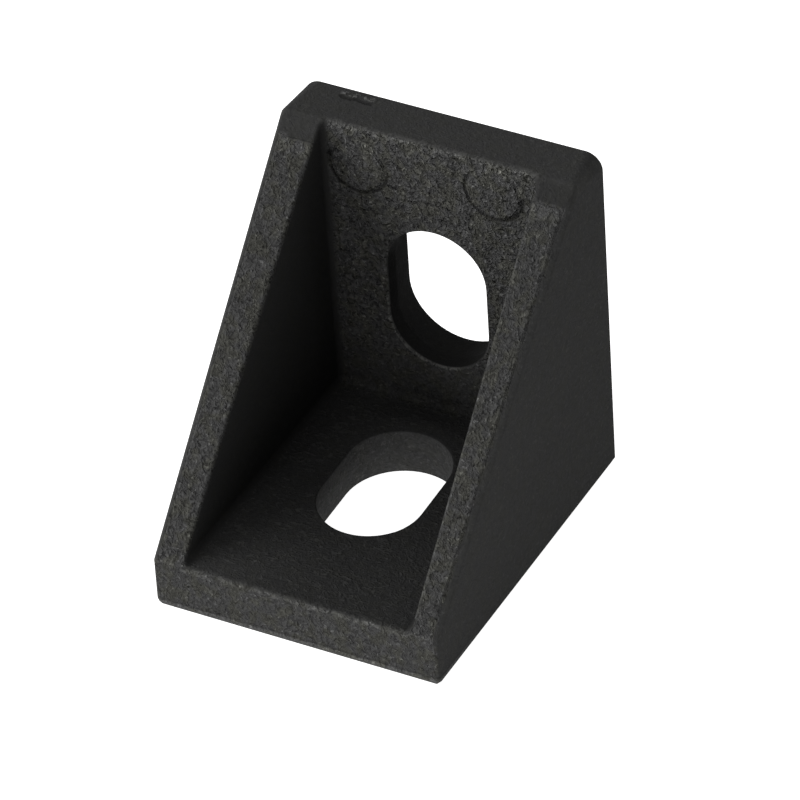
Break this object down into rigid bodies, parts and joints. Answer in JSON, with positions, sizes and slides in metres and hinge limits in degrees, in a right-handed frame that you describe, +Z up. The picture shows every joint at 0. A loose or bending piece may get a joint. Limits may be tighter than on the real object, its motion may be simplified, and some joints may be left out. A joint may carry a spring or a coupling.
{
  "type": "t slot corner bracket",
  "caption": "Small die-cast right-angle bracket with a triangular gusset on each side and a slotted bolt hole in each leg, for joining slotted aluminium framing.",
  "frame": {"origin": "middle of the rectangle that bounds the base, on the foot's underside", "axes": "+Z up, +Y towards the upright leg's mounting face, +X across the bracket to the right as seen from its open side"},
  "size_m": [0.017, 0.02, 0.02],
  "materials": {
    "black_casting": "matt black coat over a die-cast metal, sandy where the cavity and the sloping lands were blasted, smooth on the top, the back and the sides"
  },
  "bodies": {
    "root": {"corner_bracket": "black_casting"}
  },
  "joints": []
}
